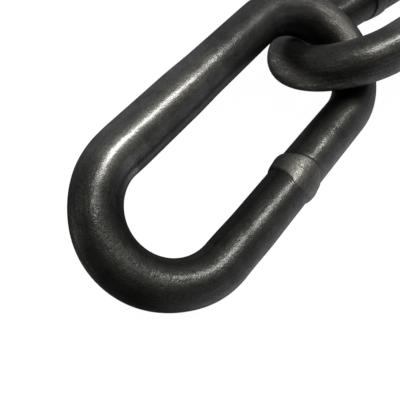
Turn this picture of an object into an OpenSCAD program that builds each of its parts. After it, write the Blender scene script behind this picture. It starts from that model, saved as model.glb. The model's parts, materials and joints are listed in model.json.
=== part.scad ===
// A length of long link chain. Each link is one round steel bar, bent to a long loop
// and closed by a butt weld in the middle of one side, and hooked through the next link.
// The chain lies slack on a floor at Z = 0 and its run goes along X. Lengths are in
// millimetres, angles in degrees. The origin is on the floor, in the middle of the box.

/* [Links] */
// Diameter of the bar that the links are bent from
wire_d = 16; // [14.5:0.5:16.5]
// Inner length of a link, which is also the chain's pitch
pitch = 100; // [90:1:125]
// Inner width of a link, between its two sides
inner_w = 29; // [28.5:0.5:32]

/* [Weld] */
// Length of the thickened weld along the bar
weld_len = 10; // [6:0.5:14]
// How far the weld stands out from the bar
weld_rise = 0.8; // [0.3:0.1:1.5]
// Length of the slope at each end of the weld
weld_slope = 1.4; // [0.5:0.1:2]
// Distance of the weld from the middle of the side
weld_offset = 2; // [-8:0.5:8]
// Thickness of the ridge of squeezed out metal round the joint line
flash_w = 1.8; // [1:0.1:3]
// How far that ridge stands out from the weld
flash_rise = 0.5; // [0.2:0.1:0.8]
// Lean of that ridge from square to the bar
flash_skew = 8; // [0:0.5:12]

/* [How it lies] */
// Space left between two links where they bear on each other
seat_gap = 0.3; // [0.2:0.05:0.4]
// Lean of the links in the straight run, away from lying flat
run_lean = 40; // [39.5:0.25:44]
// Lean of the free end link
end_lean = 31; // [29:0.5:32]
// Lean of the second link, the other way
second_lean = 26; // [25:0.5:27]
// Angle between the end link and the run, seen from above
end_turn = 14.5; // [12:0.5:17]
// How far the second link's middle lies beside the end link's long axis
end_aside = 12.9; // [11.5:0.1:14]

/* [Hidden] */
NODES = [
    "link_01", "link_02", "link_03", "link_04", "link_05",
    "link_06", "link_07", "link_08", "link_09", "link_10",
    "link_11", "link_12", "link_13", "link_14", "link_15",
    "link_16", "link_17", "link_18", "link_19", "link_20"
];

bar_faces = 14;
bend_faces = 16;
steel = [0.16, 0.16, 0.17];

// Middle line of the bar: half its length and half its width
half_len = (pitch + wire_d) / 2;
half_w = (inner_w + wire_d) / 2;
bar_r = wire_d / 2;

// Half the length of the straight sides. The half rings at the ends are centred there.
side_x = half_len - half_w;
weld_r = bar_r + weld_rise;
flash_r = weld_r + flash_rise;

// Points along the middle line of one end, from mid side to mid side
step_a = 3;
line_step = 2;
end_line = [
    for (x = [0 : line_step : side_x]) [x, half_w, 0],
    for (a = [90 : -step_a : -90]) [side_x + half_w * cos(a), half_w * sin(a), 0],
    for (x = [side_x : -line_step : 0]) [x, -half_w, 0]
];

// 4 x 4 places: a shift, a turn about Z, and a lean about the link's own long axis
function shift_by(v) = [[1, 0, 0, v.x], [0, 1, 0, v.y], [0, 0, 1, v.z], [0, 0, 0, 1]];
function turn_z(a) = [[cos(a), -sin(a), 0, 0], [sin(a), cos(a), 0, 0], [0, 0, 1, 0], [0, 0, 0, 1]];
function lean_x(a) = [[1, 0, 0, 0], [0, cos(a), -sin(a), 0], [0, sin(a), cos(a), 0], [0, 0, 0, 1]];
function put(m, p) = let (q = m * [p.x, p.y, p.z, 1]) [q.x, q.y, q.z];

// Height of a leaning link's middle when its lower side rests on the weld's ridge
function ridge_reach(a) = let (u = sin(flash_skew) * sin(a))
    flash_r * sqrt(1 - u * u) + flash_w / 2 * u;
function rest_height(a) = half_w * sin(abs(a)) + ridge_reach(abs(a));

// A link that lies on the floor at x, y with a heading and a lean
function lying(x, y, heading, lean) =
    shift_by([x, y, rest_height(lean)]) * turn_z(heading) * lean_x(lean);

// Clear space between the far end of link m and the near end of link n
function space_between(m, n) = let (
    far = [for (p = end_line) put(m, p)],
    near = [for (p = end_line) put(n, [-p.x, p.y, p.z])]
) min([for (p = far) min([for (q = near) norm(p - q)])]) - wire_d;

// The greatest distance at which the next link still clears the one that holds it.
// It halves the step between a hooked distance and one that is too far.
function bearing_x(m, y, heading, lean, near_x, far_x, tries = 14) =
    tries == 0 ? near_x :
    let (mid = (near_x + far_x) / 2)
    space_between(m, lying(mid, y, heading, lean)) >= seat_gap
        ? bearing_x(m, y, heading, lean, mid, far_x, tries - 1)
        : bearing_x(m, y, heading, lean, near_x, mid, tries - 1);

// Slack that is surely enough for the two links at the loose end to be clear of each other
slack = 13;
second_x = bearing_x(
    lying(0, 0, 0, end_lean), -end_aside, -end_turn, -second_lean, pitch - slack, pitch
);
third_x = bearing_x(
    lying(0, 0, 0, -second_lean), 0, 0, run_lean, pitch - slack, pitch
);

// In the run the crowns bear on each other at their tips
run_step = pitch - seat_gap;

// The end link is placed from the second one, whose middle is at X = 0 and Y = 0 here
end_x = -second_x * cos(end_turn) - end_aside * sin(end_turn);
end_y = -second_x * sin(end_turn) + end_aside * cos(end_turn);
links = len(NODES);

function raw_place(i) =
    i == 0 ? lying(end_x, end_y, end_turn, end_lean) :
    i == 1 ? lying(0, 0, 0, -second_lean) :
    lying(third_x + (i - 2) * run_step, 0, 0, i % 2 == 0 ? run_lean : -run_lean);

// The chain's box on the floor, which sets where the origin is
first_ring = [for (p = end_line, s = [1, -1]) put(raw_place(0), [s * p.x, p.y, 0])];
box_x0 = min([for (p = first_ring) p.x]) - bar_r;
box_x1 = raw_place(links - 1)[0][3] + half_len + bar_r;
ridge_y = let (u = sin(flash_skew) * cos(run_lean)) flash_r * sqrt(1 - u * u) + flash_w / 2 * u;
box_y0 = min([for (p = first_ring) p.y]) - bar_r;
box_y1 = half_w * cos(run_lean) + ridge_y;
origin_shift = shift_by([-(box_x0 + box_x1) / 2, -(box_y0 + box_y1) / 2, 0]);

function place(i) = origin_shift * raw_place(i);

// A round piece along X, centred, with its first edge towards the link's side
module round_x(length, r) {
    rotate([0, 90, 0]) rotate([0, 0, 90])
        cylinder(h = length, r = r, center = true, $fn = bar_faces);
}

// The half ring at one end of a link
module end_bend() {
    translate([side_x, 0, 0])
        rotate([0, 0, -90])
            rotate_extrude(angle = 180, $fn = bend_faces)
                translate([half_w, 0]) circle(r = bar_r, $fn = bar_faces);
}

// The butt weld: a thickened collar with sloped ends, and the skewed ridge round its middle
module weld() {
    half = weld_len / 2;
    rotate([0, 90, 0]) rotate([0, 0, 90])
        rotate_extrude($fn = bar_faces)
            polygon([
                [0, -half], [bar_r, -half], [weld_r, weld_slope - half],
                [weld_r, half - weld_slope], [bar_r, half], [0, half]
            ]);
    rotate([0, 0, flash_skew]) round_x(flash_w, flash_r);
}

// A whole link, flat in XY with its middle at the origin. The weld is on the side at weld_side.
module link(weld_side) {
    end_bend();
    mirror([1, 0, 0]) end_bend();
    for (side = [1, -1]) translate([0, side * half_w, 0]) round_x(2 * side_x, bar_r);
    translate([weld_offset, weld_side * half_w, 0]) weld();
}

// The weld is on the lower side of the two links at the loose end, then two up and two down
module chain_link(i) {
    lower_side = i % 2 == 0 ? -1 : 1;
    weld_side = i % 4 < 2 ? lower_side : -lower_side;
    color(steel) multmatrix(place(i)) link(weld_side);
}

for (i = [0 : links - 1])
    chain_link(i);
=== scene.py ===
import json
import math

import bpy
import numpy as np
from mathutils import Matrix


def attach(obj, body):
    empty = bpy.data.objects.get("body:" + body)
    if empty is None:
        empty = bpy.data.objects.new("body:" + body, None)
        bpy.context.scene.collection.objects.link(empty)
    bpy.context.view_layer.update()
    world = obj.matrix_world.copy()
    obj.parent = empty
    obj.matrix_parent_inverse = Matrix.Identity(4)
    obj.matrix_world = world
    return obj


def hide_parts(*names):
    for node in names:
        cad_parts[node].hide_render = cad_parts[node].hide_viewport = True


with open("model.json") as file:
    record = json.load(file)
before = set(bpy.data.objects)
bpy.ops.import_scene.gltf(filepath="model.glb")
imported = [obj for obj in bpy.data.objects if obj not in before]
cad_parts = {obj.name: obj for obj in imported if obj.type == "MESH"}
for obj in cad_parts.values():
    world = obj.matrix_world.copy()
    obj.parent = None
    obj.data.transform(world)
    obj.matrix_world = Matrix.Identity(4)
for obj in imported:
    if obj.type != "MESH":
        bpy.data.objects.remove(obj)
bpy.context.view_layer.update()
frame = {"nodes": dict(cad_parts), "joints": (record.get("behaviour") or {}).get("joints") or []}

# A slack length of long link chain on a pale floor, seen as in the photograph. Each link is one
# closed swept surface, which rides on its body in the frame.

# Sizes of a link in metres, as in the solids, and how much thinner its bar is drawn
WIRE_R = 0.008
HALF_LEN = 0.058
HALF_W = 0.0225
SIDE_X = HALF_LEN - HALF_W
WELD_OFFSET = 0.002
INSET = 0.00002

# How the two loose links lie, as in the solids. The places of the others come from the frame.
END_AT = (-0.941335, -0.000726, 0.020929)
END_HEADING = 14.5
END_LEAN = 31.0
SECOND_AT = (-0.846271, 0.010535, 0.019201)
SECOND_LEAN = -26.0

# Points round the bar, and the steps along it near the weld and elsewhere. The two links in the
# photograph are finer than the rest. The weld's zone is measured from its middle.
SEEN_LINKS = 2
FINE = (96, 0.00025, 0.001)
PLAIN = (44, 0.0006, 0.002)
WELD_ZONE = 0.009

# Sizes of the patterns in the scale, in metres
CLOUD = 0.0059
MOTTLE = 0.0016
GRAIN = 0.00053
LINE = 0.0011
PIT_CELL = 0.0019

# The camera stands where the photograph was taken from
CAM_AT = (-1.005614, -0.074669, 0.136300)
CAM_VIEW = (0.278460, 0.456486, -0.845033)
CAM_UP = (0.533706, 0.657943, 0.531289)
CAM_LENS = 41.31
CAM_SENSOR = 36.0

# The key light is a long softbox high above the loose end: what it lights, the way to it, the
# way of its long side, how far off it is, its sides, and its power at one metre
KEY_AIM = (-0.96, -0.01, 0.03)
KEY_FROM = (0.303, -0.137, 0.943)
KEY_LONG = (0.953, 0.026, -0.303)
KEY_FAR = 4.0
KEY_WIDTH = 0.11 * KEY_FAR
KEY_LENGTH = 0.84 * KEY_FAR
KEY_STRENGTH = 8.8 * math.pi

# The ways to the dark side of the room and to the pale ground at the near right
DARK_SIDE = (-0.53, -0.75, 0.39)
NEAR_RIGHT = (0.42, -0.74, -0.46)

# Half the side of the floor, and how far it lies under the links
FLOOR_HALF = 6.0
FLOOR_DROP = 0.0002


def srgb(code):
    """A hex colour as linear red, green and blue with alpha."""
    out = []
    for i in (1, 3, 5):
        c = int(code[i:i + 2], 16) / 255.0
        out.append(c / 12.92 if c <= 0.04045 else ((c + 0.055) / 1.055) ** 2.4)
    return (*out, 1.0)


def unit(v):
    """A direction with length 1."""
    v = np.asarray(v, dtype=float)
    return v / np.linalg.norm(v)


def aim(obj, at, view, up):
    """Place a camera or light at a point, looking along view."""
    back = -unit(view)
    right = unit(np.cross(unit(up), back))
    top = np.cross(back, right)
    m = Matrix.Identity(4)
    for row in range(3):
        m[row][0] = right[row]
        m[row][1] = top[row]
        m[row][2] = back[row]
        m[row][3] = at[row]
    obj.matrix_world = m


def add(tree, kind, at, settings=None, inputs=None, stops=None):
    """One shader node with its settings, its input values or links, and a ramp's colour stops."""
    node = tree.nodes.new(kind)
    node.location = at
    for key, value in (settings or {}).items():
        setattr(node, key, value)
    for key, value in (inputs or {}).items():
        if isinstance(value, bpy.types.NodeSocket):
            tree.links.new(value, node.inputs[key])
        else:
            node.inputs[key].default_value = value
    if stops:
        ends = node.color_ramp.elements
        while len(ends) < len(stops):
            ends.new(0.5)
        for end, (place, code) in zip(ends, stops):
            end.position = place
            end.color = srgb(code)
    return node


def scale_patterns(tree):
    """The patterns in the scale by name, and the place on the bar before bending that they follow."""
    bar = add(tree, "ShaderNodeAttribute", (-2100, 200), {"attribute_name": "bar_place"}).outputs["Vector"]
    # Drawing lines run along the bar, ten times longer than wide
    slim = add(tree, "ShaderNodeMapping", (-1900, -600),
               inputs={"Vector": bar, "Scale": (0.1, 1.0, 1.0)}).outputs["Vector"]
    # Clouds and mottling are thicker and thinner scale, and the grain is its rough surface
    kinds = {
        "clouds": (bar, CLOUD, 2.0, 0.5),
        "mottle": (bar, MOTTLE, 3.0, 0.7),
        "grain": (bar, GRAIN, 1.5, 0.6),
        "lines": (slim, LINE, 3.0, 0.7),
    }
    patterns = {"bar": bar}
    for row, (name, (way, size, detail, roughness)) in enumerate(kinds.items()):
        noise = add(tree, "ShaderNodeTexNoise", (-1700, 600 - 400 * row),
                    inputs={"Vector": way, "Scale": 1 / size, "Detail": detail, "Roughness": roughness})
        patterns[name] = noise.outputs["Fac"]
    return patterns


def flaked_pits(tree, patterns):
    """Small round pits where scale flaked off, in clusters, in about one cell of three."""
    shake = (0.0012, 0.0012, 0.0012)
    shaken = add(tree, "ShaderNodeVectorMath", (-1450, -900), {"operation": "MULTIPLY_ADD"},
                 {0: patterns["mottle"], 1: shake, 2: patterns["bar"]}).outputs["Vector"]
    cells = add(tree, "ShaderNodeTexVoronoi", (-1250, -900),
                inputs={"Vector": shaken, "Scale": 1 / PIT_CELL})
    hollow = add(tree, "ShaderNodeMapRange", (-1000, -850), {"interpolation_type": "SMOOTHSTEP"},
                 {"Value": cells.outputs["Distance"], "From Min": 0.06, "From Max": 0.22,
                  "To Min": 1.0, "To Max": 0.0}).outputs["Result"]
    chosen = add(tree, "ShaderNodeMath", (-1000, -1100), {"operation": "GREATER_THAN"},
                 {0: cells.outputs["Color"], 1: 0.62}).outputs[0]
    cluster = add(tree, "ShaderNodeMapRange", (-1000, -1300), {"interpolation_type": "SMOOTHSTEP"},
                  {"Value": patterns["clouds"], "From Min": 0.41, "From Max": 0.53}).outputs["Result"]
    there = add(tree, "ShaderNodeMath", (-800, -1100), {"operation": "MULTIPLY"},
                {0: chosen, 1: cluster}).outputs[0]
    return add(tree, "ShaderNodeMath", (-650, -900), {"operation": "MULTIPLY"},
               {0: hollow, 1: there}).outputs[0]


def scuff_marks(tree, patterns, scuffed):
    """Fine short marks in loose drifts, where links knock and rub on each other."""
    fine = add(tree, "ShaderNodeMath", (-1400, 900), {"operation": "MULTIPLY_ADD"},
               {0: patterns["lines"], 1: 1.6, 2: patterns["grain"]}).outputs[0]
    drift = add(tree, "ShaderNodeMath", (-1400, 750), {"operation": "MULTIPLY_ADD"},
                {0: patterns["clouds"], 1: 0.7, 2: fine}).outputs[0]
    mark = add(tree, "ShaderNodeMapRange", (-1200, 750), {"interpolation_type": "SMOOTHSTEP"},
               {"Value": drift, "From Min": 1.60, "From Max": 2.15}).outputs["Result"]
    spread_out = add(tree, "ShaderNodeMapRange", (-1050, 900),
                     inputs={"Value": mark, "To Min": 0.4, "To Max": 1.0}).outputs["Result"]
    return add(tree, "ShaderNodeMath", (-950, 750), {"operation": "MULTIPLY"},
               {0: spread_out, 1: scuffed}).outputs[0]


def scale_level(tree, patterns, pits):
    """How light the surface is from grain to grain: near 1, and dark in the pits."""
    speck = add(tree, "ShaderNodeMapRange", (-1200, 150),
                inputs={"Value": patterns["grain"], "From Min": 0.32, "From Max": 0.68,
                        "To Min": 0.70, "To Max": 1.32}).outputs["Result"]
    streak = add(tree, "ShaderNodeMapRange", (-1200, -100),
                 inputs={"Value": patterns["lines"], "From Min": 0.3, "From Max": 0.7,
                         "To Min": 0.78, "To Max": 1.22}).outputs["Result"]
    both = add(tree, "ShaderNodeMath", (-950, 100), {"operation": "MULTIPLY"},
               {0: speck, 1: streak}).outputs[0]
    sound = add(tree, "ShaderNodeMath", (-650, -50), {"operation": "MULTIPLY_ADD"},
                {0: pits, 1: -0.75, 2: 1.0}).outputs[0]
    return add(tree, "ShaderNodeMath", (-450, 50), {"operation": "MULTIPLY"},
               {0: both, 1: sound}).outputs[0]


def scale_colour(tree, patchy, rubbed_and_painted_shade, weld, scuff, level):
    """Near black scale, greyer where it is rubbed thin and darker on the inner faces of the sides as
    painted shade, with pale scuffs and paler metal on the weld.
    """
    quiet = add(tree, "ShaderNodeMath", (-1300, 400), {"operation": "MULTIPLY"},
                {0: patchy, 1: 0.55}).outputs[0]
    shown = add(tree, "ShaderNodeMath", (-1150, 400), {"operation": "MULTIPLY_ADD"},
                {0: rubbed_and_painted_shade, 1: 0.7, 2: quiet}).outputs[0]
    tone = add(tree, "ShaderNodeValToRGB", (-950, 400), inputs={"Fac": shown},
               stops=[(0.40, "#131312"), (0.72, "#1c1c1a"), (0.98, "#262622")]).outputs["Color"]
    worn = add(tree, "ShaderNodeMix", (-800, 600), {"data_type": "RGBA"},
               {"Factor": scuff, 6: tone, 7: srgb("#76736a")}).outputs[2]
    on_weld = add(tree, "ShaderNodeMix", (-650, 400), {"data_type": "RGBA"},
                  {"Factor": weld, 6: worn, 7: srgb("#44433e")}).outputs[2]
    return add(tree, "ShaderNodeVectorMath", (-250, 300), {"operation": "SCALE"},
               {0: on_weld, "Scale": level}).outputs["Vector"]


def oil_film(tree, patchy, rubbed_and_painted_shade, level):
    """The film of oil: thick where the scale is rubbed smooth, in soft patches, and thin in the pits and,
    as painted shade, on the inner faces of the sides.
    """
    beads = add(tree, "ShaderNodeMapRange", (-850, -250),
                inputs={"Value": patchy, "From Min": 0.62, "From Max": 1.08,
                        "To Min": 0.68, "To Max": 1.26}).outputs["Result"]
    spread = add(tree, "ShaderNodeMath", (-650, -250), {"operation": "MULTIPLY"},
                 {0: beads, 1: rubbed_and_painted_shade}).outputs[0]
    gentle = add(tree, "ShaderNodeMath", (-650, -400), {"operation": "POWER"},
                 {0: level, 1: 0.5}).outputs[0]
    film = add(tree, "ShaderNodeMath", (-450, -200), {"operation": "MULTIPLY"},
               {0: gentle, 1: spread}).outputs[0]
    return add(tree, "ShaderNodeMapRange", (-250, -200),
               inputs={"Value": film, "From Min": 0.05, "From Max": 1.05,
                       "To Min": 0.05, "To Max": 1.0}).outputs["Result"]


def scale_relief(tree, patterns, rubbed_and_painted_shade, pits):
    """Waves, mottling, grain and pits, with mottling and grain almost gone where the scale is rubbed."""
    keen = add(tree, "ShaderNodeMapRange", (-650, -1250),
               inputs={"Value": rubbed_and_painted_shade, "From Min": 0.2, "From Max": 0.9,
                       "To Min": 1.05, "To Max": 0.12}).outputs["Result"]
    waves = add(tree, "ShaderNodeBump", (-650, -700),
                inputs={"Height": patterns["clouds"], "Strength": 1.0,
                        "Distance": 0.00015}).outputs["Normal"]
    mottled = add(tree, "ShaderNodeBump", (-450, -700),
                  inputs={"Height": patterns["mottle"], "Strength": keen, "Distance": 0.00009,
                          "Normal": waves}).outputs["Normal"]
    grained = add(tree, "ShaderNodeBump", (-250, -700),
                  inputs={"Height": patterns["grain"], "Strength": keen, "Distance": 0.00005,
                          "Normal": mottled}).outputs["Normal"]
    return add(tree, "ShaderNodeBump", (-50, -700), {"invert": True},
               {"Height": pits, "Strength": 1.0, "Distance": 0.00004, "Normal": grained}).outputs["Normal"]


def scale_steel():
    """Hot worked steel under thin dark mill scale with a light film of oil.

    The scale is close to black with a soft gloss. The oil gives the narrow bright core of the
    highlight, most of all on the plain side of a link, where the bar is smooth. Scuffs are dull
    and pale, since the scale is ground to powder there.
    """
    mat = bpy.data.materials.new("oiled_mill_scale_steel")
    mat.use_nodes = True
    tree = mat.node_tree
    tree.nodes.clear()
    patterns = scale_patterns(tree)
    rubbed_and_painted_shade, weld, scuffed = (
        add(tree, "ShaderNodeAttribute", (-2100, -100 - 200 * row), {"attribute_name": name}).outputs["Fac"]
        for row, name in enumerate(("rubbed_and_painted_shade", "weld", "scuffed"))
    )
    patchy = add(tree, "ShaderNodeMath", (-1400, 500), {"operation": "MULTIPLY_ADD"},
                 {0: patterns["mottle"], 1: 0.7, 2: patterns["clouds"]}).outputs[0]
    pits = flaked_pits(tree, patterns)
    scuff = scuff_marks(tree, patterns, scuffed)
    level = scale_level(tree, patterns, pits)
    colour = scale_colour(tree, patchy, rubbed_and_painted_shade, weld, scuff, level)
    oil = oil_film(tree, patchy, rubbed_and_painted_shade, level)
    relief = scale_relief(tree, patterns, rubbed_and_painted_shade, pits)
    metal = add(tree, "ShaderNodeMapRange", (-650, 800),
                inputs={"Value": scuff, "From Min": 0.02, "From Max": 0.45,
                        "To Min": 1.0, "To Max": 0.1}).outputs["Result"]
    rough = add(tree, "ShaderNodeMapRange", (-450, -450),
                inputs={"Value": patterns["grain"], "From Min": 0.35, "From Max": 0.65,
                        "To Min": 0.60, "To Max": 0.50}).outputs["Result"]
    skin = add(tree, "ShaderNodeBsdfPrincipled", (100, 0),
               inputs={"Base Color": colour, "Metallic": metal, "Roughness": rough, "Normal": relief,
                       "Coat Weight": oil, "Coat Roughness": 0.25, "Coat Normal": relief})
    add(tree, "ShaderNodeOutputMaterial", (400, 0), inputs={"Surface": skin.outputs["BSDF"]})
    return mat


def link_places():
    """Number, middle, heading and lean of every link, in metres and degrees."""
    places = [(1, END_AT, END_HEADING, END_LEAN), (2, SECOND_AT, 0.0, SECOND_LEAN)]
    # A hinge in the run sits on its first link's far crown, and its axis lies in that link's plane
    hinges = {joint["name"]: joint for joint in frame["joints"]}
    last = len(frame["nodes"])
    for number in range(len(places) + 1, last):
        hinge = hinges[f"swing_{number:02d}"]
        x, y, z = hinge["pos_m"]
        lean = round(math.degrees(math.atan(hinge["axis"][2] / hinge["axis"][1])), 2)
        places.append((number, (x - HALF_LEN, y, z), 0.0, lean))
    # The last link has no hinge of its own, and follows the run
    before = places[-2][1]
    x, y, z = places[-1][1]
    places.append((last, (2 * x - before[0], y, z), 0.0, -places[-1][3]))
    return places


def smooth(x):
    """From 0 to 1 as x goes from 0 to 1, with level ends."""
    x = np.clip(x, 0.0, 1.0)
    return x * x * (3 - 2 * x)


def lobe(angle, middle, width):
    """A smooth bump round the bar, in degrees."""
    gap = (angle - middle + 180.0) % 360.0 - 180.0
    return np.exp(-(gap / width) ** 2)


def ring_places(near_weld, elsewhere):
    """Distances along the bar from one side of the weld round to the other, closer near the weld."""
    total = 4 * SIDE_X + 2 * math.pi * HALF_W
    first = np.arange(0.0, WELD_ZONE, near_weld)
    middle = np.linspace(WELD_ZONE, total - WELD_ZONE, int((total - 2 * WELD_ZONE) / elsewhere))
    last = total - first[::-1]
    return np.concatenate([first, middle[1:-1], last[:-1]]), total


def middle_line(places):
    """Point and outward direction at distances along the bar. The weld is on the side at -Y."""
    bend = math.pi * HALF_W
    plain_end = bend + 2 * SIDE_X
    near_end = plain_end + bend
    s = places - (SIDE_X - WELD_OFFSET)
    point = np.zeros((len(s), 2))
    out = np.zeros((len(s), 2))
    for i, t in enumerate(s):
        if t < 0:
            point[i], out[i] = (SIDE_X + t, -HALF_W), (0, -1)
        elif t < bend:
            a = -math.pi / 2 + t / HALF_W
            out[i] = (math.cos(a), math.sin(a))
            point[i] = (SIDE_X + HALF_W * out[i][0], HALF_W * out[i][1])
        elif t < plain_end:
            point[i], out[i] = (SIDE_X - (t - bend), HALF_W), (0, 1)
        elif t < near_end:
            a = math.pi / 2 + (t - plain_end) / HALF_W
            out[i] = (math.cos(a), math.sin(a))
            point[i] = (-SIDE_X + HALF_W * out[i][0], HALF_W * out[i][1])
        else:
            point[i], out[i] = (-SIDE_X + t - near_end, -HALF_W), (0, -1)
    return point, out


def uneven_bar(along, total, turn, rng):
    """Radius of the bar at every point, with long shallow waves along and round it."""
    radius = np.full((len(along), len(turn)), WIRE_R - INSET)
    t = along[:, None] * 2 * math.pi / total
    for harmonic in (3, 5, 8, 13):
        size = 0.00003 / harmonic ** 0.5
        along_bar = np.cos(harmonic * t + rng.uniform(0, 6.28))
        round_bar = np.cos(turn * rng.integers(1, 4) + rng.uniform(0, 6.28))
        radius -= size * (1 + along_bar * round_bar)
    return radius


def weld_rise(s, angle, rng):
    """Height of the weld above the bar and how pale its metal is, at s from its middle.

    The weld is widest on top of the link and thickest at its inner side, with a crease past its
    upper end and a nick at its lower one. No two are quite alike.
    """
    chance = rng.uniform(-1, 1, 8)
    up = 0.0028 + 0.0022 * lobe(angle, 90 + 8 * chance[0], 42) + 0.0003 * chance[1]
    low = (-0.0036 - 0.0021 * lobe(angle, 88 + 8 * chance[2], 38) + 0.0003 * chance[3]
           + 0.0010 * lobe(angle, 250 + 30 * chance[4], 40))
    height = 0.00050 + 0.00070 * lobe(angle, 176, 24) + 0.00025 * lobe(angle, 130, 20)
    height = height + 0.00040 * lobe(angle, 30 + 6 * chance[5], 26)
    across = np.clip((s - (up + low) / 2) / ((up - low) / 2), -1, 1)
    up_slope = 0.0009
    low_slope = 0.0016 - 0.0009 * lobe(angle, 160, 45)
    inside = smooth((up - s) / up_slope + 0.5) * smooth((s - low) / low_slope + 0.5)
    crease = np.exp(-((s - up - 0.0004) / 0.00025) ** 2) * lobe(angle, 100, 34)
    nick = np.exp(-((s - low + 0.0003) / 0.0003) ** 2) * lobe(angle, 135, 34)
    pale = inside * np.clip(0.25 + 0.75 * lobe(angle, 132, 30) + 0.6 * lobe(angle, 45, 20), 0, 1)
    return height * inside * (1 - 0.45 * across ** 2) - 0.00012 * crease - 0.00024 * nick, pale


def bar_ends_apart(s):
    """Outward step of the bar on one side of the weld, where its two ends didn't quite line up."""
    return 0.00035 * smooth(0.5 - s / 0.003) * smooth((s + 0.036) / 0.014)


def out_of_round(point, turn, number):
    """How far the bar is from round: the crowns are flattened at their shoulders by bending."""
    bend = np.degrees(np.arctan2(np.abs(point[:, 1]), np.abs(point[:, 0]) - SIDE_X))
    flat = np.where(np.abs(point[:, 0]) > SIDE_X, lobe(bend, 46, 22), 0.0)
    change = -0.00040 * flat[:, None] * np.clip(np.cos(turn), 0, 1)[None, :]
    if number == 1:
        # The plain side of the end link is a little thick towards its near crown
        thick = smooth((point[:, 0] + 0.041) / 0.010) * smooth((0.006 - point[:, 0]) / 0.014)
        change = change + 0.00028 * np.where(point[:, 1] > 0, thick, 0.0)[:, None]
    return change


def rubbed_smooth_and_painted_shade(point, angle, number, rng):
    """From 0 to 1, how far the scale is rubbed smooth: most on a stretch of the plain side. It is also
    lowered on the inner faces of the sides as painted shade.
    """
    x = point[:, 0]
    chance = rng.uniform(-1, 1, 4)
    near = -0.0420 if number == 1 else -0.0350 + 0.006 * chance[0]
    far = 0.008 + 0.025 * (chance[1] + 1) * (number > 1)
    strip = smooth((x - near) / 0.016 + 0.5) * smooth((far - x) / 0.014 + 0.5)
    dull = 0.28 - 0.16 * (number == 1) * smooth((near - x) / 0.020 + 1)
    plain = dull + (1 - dull) * strip * (1 - 0.47 * smooth((x - near) / 0.022))
    # The jaw of the welding machine gripped the bar just past the weld, and rubbed it there
    gripped = 0.28 + 0.17 * np.exp(-((x - 0.013) / 0.007) ** 2)
    side = np.where(point[:, 1] > 0, plain, gripped)
    # The tips of the crowns are the same on both sides
    tip = 0.28
    blend = smooth((point[:, 1] / HALF_W + 0.9) / 1.6)
    crown = tip + (side - tip) * np.abs(2 * blend - 1)
    level = np.where(np.abs(x) > SIDE_X, crown, side)
    # Painted shade: the inner faces of the sides are made darker and their oil thinner, for the shade that
    # falls inside the loop
    painted_inner_shade = 0.75 * lobe(angle, 180, 62)[None, :] * (np.abs(x) < SIDE_X)[:, None]
    return level[:, None] * (1 - painted_inner_shade)


def scuffed_crowns(point, angle, number, rng):
    """From 0 to 1, how much each place is scuffed by the next link.

    The patch on a crown runs askew over its outermost line, and the far crown has one on its top too.
    """
    far = (point[:, 0] > 0)[:, None]
    crown = smooth((np.abs(point[:, 0]) - SIDE_X) / 0.012)[:, None]
    if number == 1:
        # Nothing hangs in the near crown of the end link
        crown = np.where(far, crown, 0.3 * crown)
    bend = np.degrees(np.arctan2(point[:, 1], np.abs(point[:, 0]) - SIDE_X))[:, None]
    shift = 12 * rng.uniform(-1, 1) * (number > SEEN_LINKS)
    askew = lobe(angle - 1.2 * bend, -11 + shift, 24) * lobe(bend, 3, 38)
    top = 0.36 * lobe(angle, 100, 26) * lobe(bend, 3 + shift, 34)
    return crown * np.maximum(np.maximum(askew, np.where(far, top, 0)), 0.08 * lobe(angle, 0, 60))


def swept_points(point, out, radius, turn):
    """Points of the surface, ring after ring, with the link flat in XY."""
    return np.stack([point[:, :1] + radius * out[:, :1] * np.cos(turn),
                     point[:, 1:] + radius * out[:, 1:] * np.cos(turn),
                     radius * np.sin(turn)], 2).reshape(-1, 3)


def unbent_points(along, turn, number):
    """The same points on the straight bar, at another stretch of it for each link."""
    shape = (len(along), len(turn))
    return np.stack([np.broadcast_to(along[:, None] + 0.5 * number, shape),
                     WIRE_R * np.broadcast_to(np.cos(turn), shape),
                     WIRE_R * np.broadcast_to(np.sin(turn), shape)], 2).reshape(-1, 3)


def ring_faces(count, around):
    """Faces between neighbouring rings of points, closed both ways."""
    faces = []
    for i in range(count):
        n = (i + 1) % count
        for k in range(around):
            m = (k + 1) % around
            faces.append((i * around + k, n * around + k, n * around + m, i * around + m))
    return faces


def laid_down(verts, place, heading, lean):
    """Points of a link that leans about its long axis, turns to its heading and moves to its place."""
    la, ha = math.radians(lean), math.radians(heading)
    leaning = np.array([[1, 0, 0],
                        [0, math.cos(la), -math.sin(la)],
                        [0, math.sin(la), math.cos(la)]])
    heading_there = np.array([[math.cos(ha), -math.sin(ha), 0],
                              [math.sin(ha), math.cos(ha), 0],
                              [0, 0, 1]])
    return verts @ (heading_there @ leaning).T + np.array(place)


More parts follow.
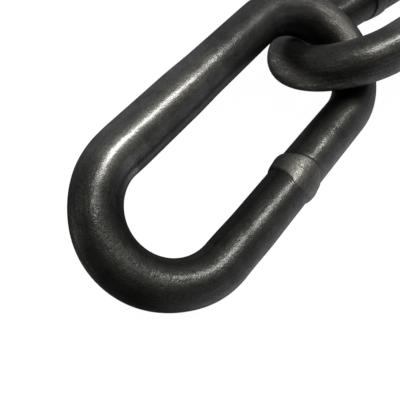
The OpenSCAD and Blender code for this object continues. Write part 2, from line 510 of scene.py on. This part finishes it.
def build_link(number, place, heading, lean, material):
    """One link as a single closed swept surface, uneven as a hot formed bar is.

    Round the bar, 0 degrees is outward, 90 is up out of the link's plane and 180 is towards its
    middle. The weld is on the lower side of the first two links, then on two upper sides, and so on.
    """
    rng = np.random.default_rng(100 + number)
    around, near_weld, elsewhere = FINE if number <= SEEN_LINKS else PLAIN
    along, total = ring_places(near_weld, elsewhere)
    point, out = middle_line(along)
    angle = np.arange(around) * 360.0 / around
    turn = np.radians(angle)
    radius = uneven_bar(along, total, turn, rng)
    from_weld = np.where(along > total / 2, along - total, along)
    rise, on_weld = weld_rise(from_weld[:, None], angle[None, :], rng)
    radius += rise + out_of_round(point, turn, number)
    point = point + out * bar_ends_apart(from_weld)[:, None]
    # How far the scale is rubbed, with painted shade on the inner faces of the sides
    rubbed_and_painted_shade = rubbed_smooth_and_painted_shade(point, angle, number, rng)
    scuffed = scuffed_crowns(point, angle[None, :], number, rng)

    verts = swept_points(point, out, radius, turn)
    lower_side = -1 if number % 2 == 1 else 1
    weld_side = lower_side if (number - 1) % 4 < 2 else -lower_side
    if weld_side > 0:
        verts = verts * (1, -1, -1)
    verts = laid_down(verts, place, heading, lean)

    name = f"link_{number:02d}"
    mesh = bpy.data.meshes.new(name + "_bar")
    mesh.from_pydata(verts.tolist(), [], ring_faces(len(along), around))
    mesh.shade_smooth()
    unbent = mesh.attributes.new("bar_place", "FLOAT_VECTOR", "POINT")
    unbent.data.foreach_set("vector", unbent_points(along, turn, number).ravel())
    for key, values in (("rubbed_and_painted_shade", rubbed_and_painted_shade), ("weld", on_weld), ("scuffed", scuffed)):
        mesh.attributes.new(key, "FLOAT", "POINT").data.foreach_set("value", values.ravel())
    mesh.materials.append(material)
    obj = bpy.data.objects.new(name + "_bar", mesh)
    bpy.context.scene.collection.objects.link(obj)
    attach(obj, name)
    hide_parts(name)


def backlit_floor():
    """A pale floor of backlit white acrylic, which takes only faint shadows and isn't mirrored."""
    mesh = bpy.data.meshes.new("floor")
    e = FLOOR_HALF
    mesh.from_pydata([(-e, -e, 0), (e, -e, 0), (e, e, 0), (-e, e, 0)], [], [(0, 1, 2, 3)])
    floor = bpy.data.objects.new("floor", mesh)
    bpy.context.scene.collection.objects.link(floor)
    floor.location.z = -FLOOR_DROP
    floor.visible_glossy = False
    paint = bpy.data.materials.new("backlit_white_acrylic")
    paint.use_nodes = True
    body = paint.node_tree.nodes["Principled BSDF"]
    body.inputs["Base Color"].default_value = srgb("#2c2c2c")
    body.inputs["Roughness"].default_value = 0.9
    body.inputs["Specular IOR Level"].default_value = 0.0
    body.inputs["Emission Color"].default_value = (1.0, 1.0, 1.0, 1.0)
    body.inputs["Emission Strength"].default_value = 0.985
    mesh.materials.append(paint)


def studio_room():
    """A pale room, dark on the near side and below, with pale ground at the near right."""
    world = bpy.data.worlds.new("studio")
    bpy.context.scene.world = world
    world.use_nodes = True
    tree = world.node_tree
    way = add(tree, "ShaderNodeTexCoord", (-900, 0)).outputs["Generated"]
    facing = add(tree, "ShaderNodeVectorMath", (-700, 0), {"operation": "DOT_PRODUCT"},
                 {0: way, 1: tuple(unit(DARK_SIDE))}).outputs["Value"]
    pale = add(tree, "ShaderNodeMapRange", (-500, 0), {"interpolation_type": "SMOOTHSTEP"},
               {"Value": facing, "From Min": 0.3, "From Max": 1.0,
                "To Min": 1.0, "To Max": 0.12}).outputs["Result"]
    height = add(tree, "ShaderNodeVectorMath", (-700, -300), {"operation": "DOT_PRODUCT"},
                 {0: way, 1: (0.0, 0.0, 1.0)}).outputs["Value"]
    ground = add(tree, "ShaderNodeMapRange", (-500, -300), {"interpolation_type": "SMOOTHSTEP"},
                 {"Value": height, "From Min": -0.6, "From Max": 0.6,
                  "To Min": 0.10, "To Max": 0.74}).outputs["Result"]
    apron = add(tree, "ShaderNodeVectorMath", (-700, -500), {"operation": "DOT_PRODUCT"},
                {0: way, 1: tuple(unit(NEAR_RIGHT))}).outputs["Value"]
    glow = add(tree, "ShaderNodeMapRange", (-500, -500), {"interpolation_type": "SMOOTHSTEP"},
               {"Value": apron, "From Min": 0.5, "From Max": 1.0,
                "To Min": 0.0, "To Max": 1.30}).outputs["Result"]
    room = add(tree, "ShaderNodeMath", (-300, -100), {"operation": "MULTIPLY_ADD"},
               {0: pale, 1: ground, 2: glow}).outputs[0]
    # Past the edge of the floor the backdrop is plain and pale, and only the steel sees the room
    seen = add(tree, "ShaderNodeLightPath", (-300, -400)).outputs["Is Camera Ray"]
    backdrop = add(tree, "ShaderNodeMix", (-100, -200), {"data_type": "FLOAT"},
                   {0: seen, 2: room, 3: 0.98}).outputs[0]
    tree.links.new(backdrop, tree.nodes["Background"].inputs["Strength"])
    tree.nodes["Background"].inputs["Color"].default_value = (0.97, 0.985, 1.04, 1.0)


def key_light():
    """A strip softbox high above the loose end, which draws the long highlights along the bars."""
    lamp = bpy.data.lights.new("key", "AREA")
    lamp.shape = "RECTANGLE"
    lamp.size = KEY_WIDTH
    lamp.size_y = KEY_LENGTH
    lamp.color = (1.0, 0.985, 0.945)
    lamp.energy = KEY_STRENGTH * KEY_FAR ** 2
    obj = bpy.data.objects.new("key", lamp)
    bpy.context.scene.collection.objects.link(obj)
    way = unit(KEY_FROM)
    aim(obj, np.array(KEY_AIM) + KEY_FAR * way, -way, KEY_LONG)


def photo_camera():
    """The photograph's camera, and colours shown as they are."""
    camera = bpy.data.objects.new("photo_camera", bpy.data.cameras.new("photo_camera"))
    bpy.context.scene.collection.objects.link(camera)
    camera.data.sensor_width = CAM_SENSOR
    camera.data.lens = CAM_LENS
    camera.data.clip_start = 0.005
    aim(camera, CAM_AT, CAM_VIEW, CAM_UP)
    bpy.context.scene.camera = camera
    bpy.context.scene.view_settings.view_transform = "Standard"


photo_camera()
steel = scale_steel()
for number, place, heading, lean in link_places():
    build_link(number, place, heading, lean, steel)
backlit_floor()
studio_room()
key_light()
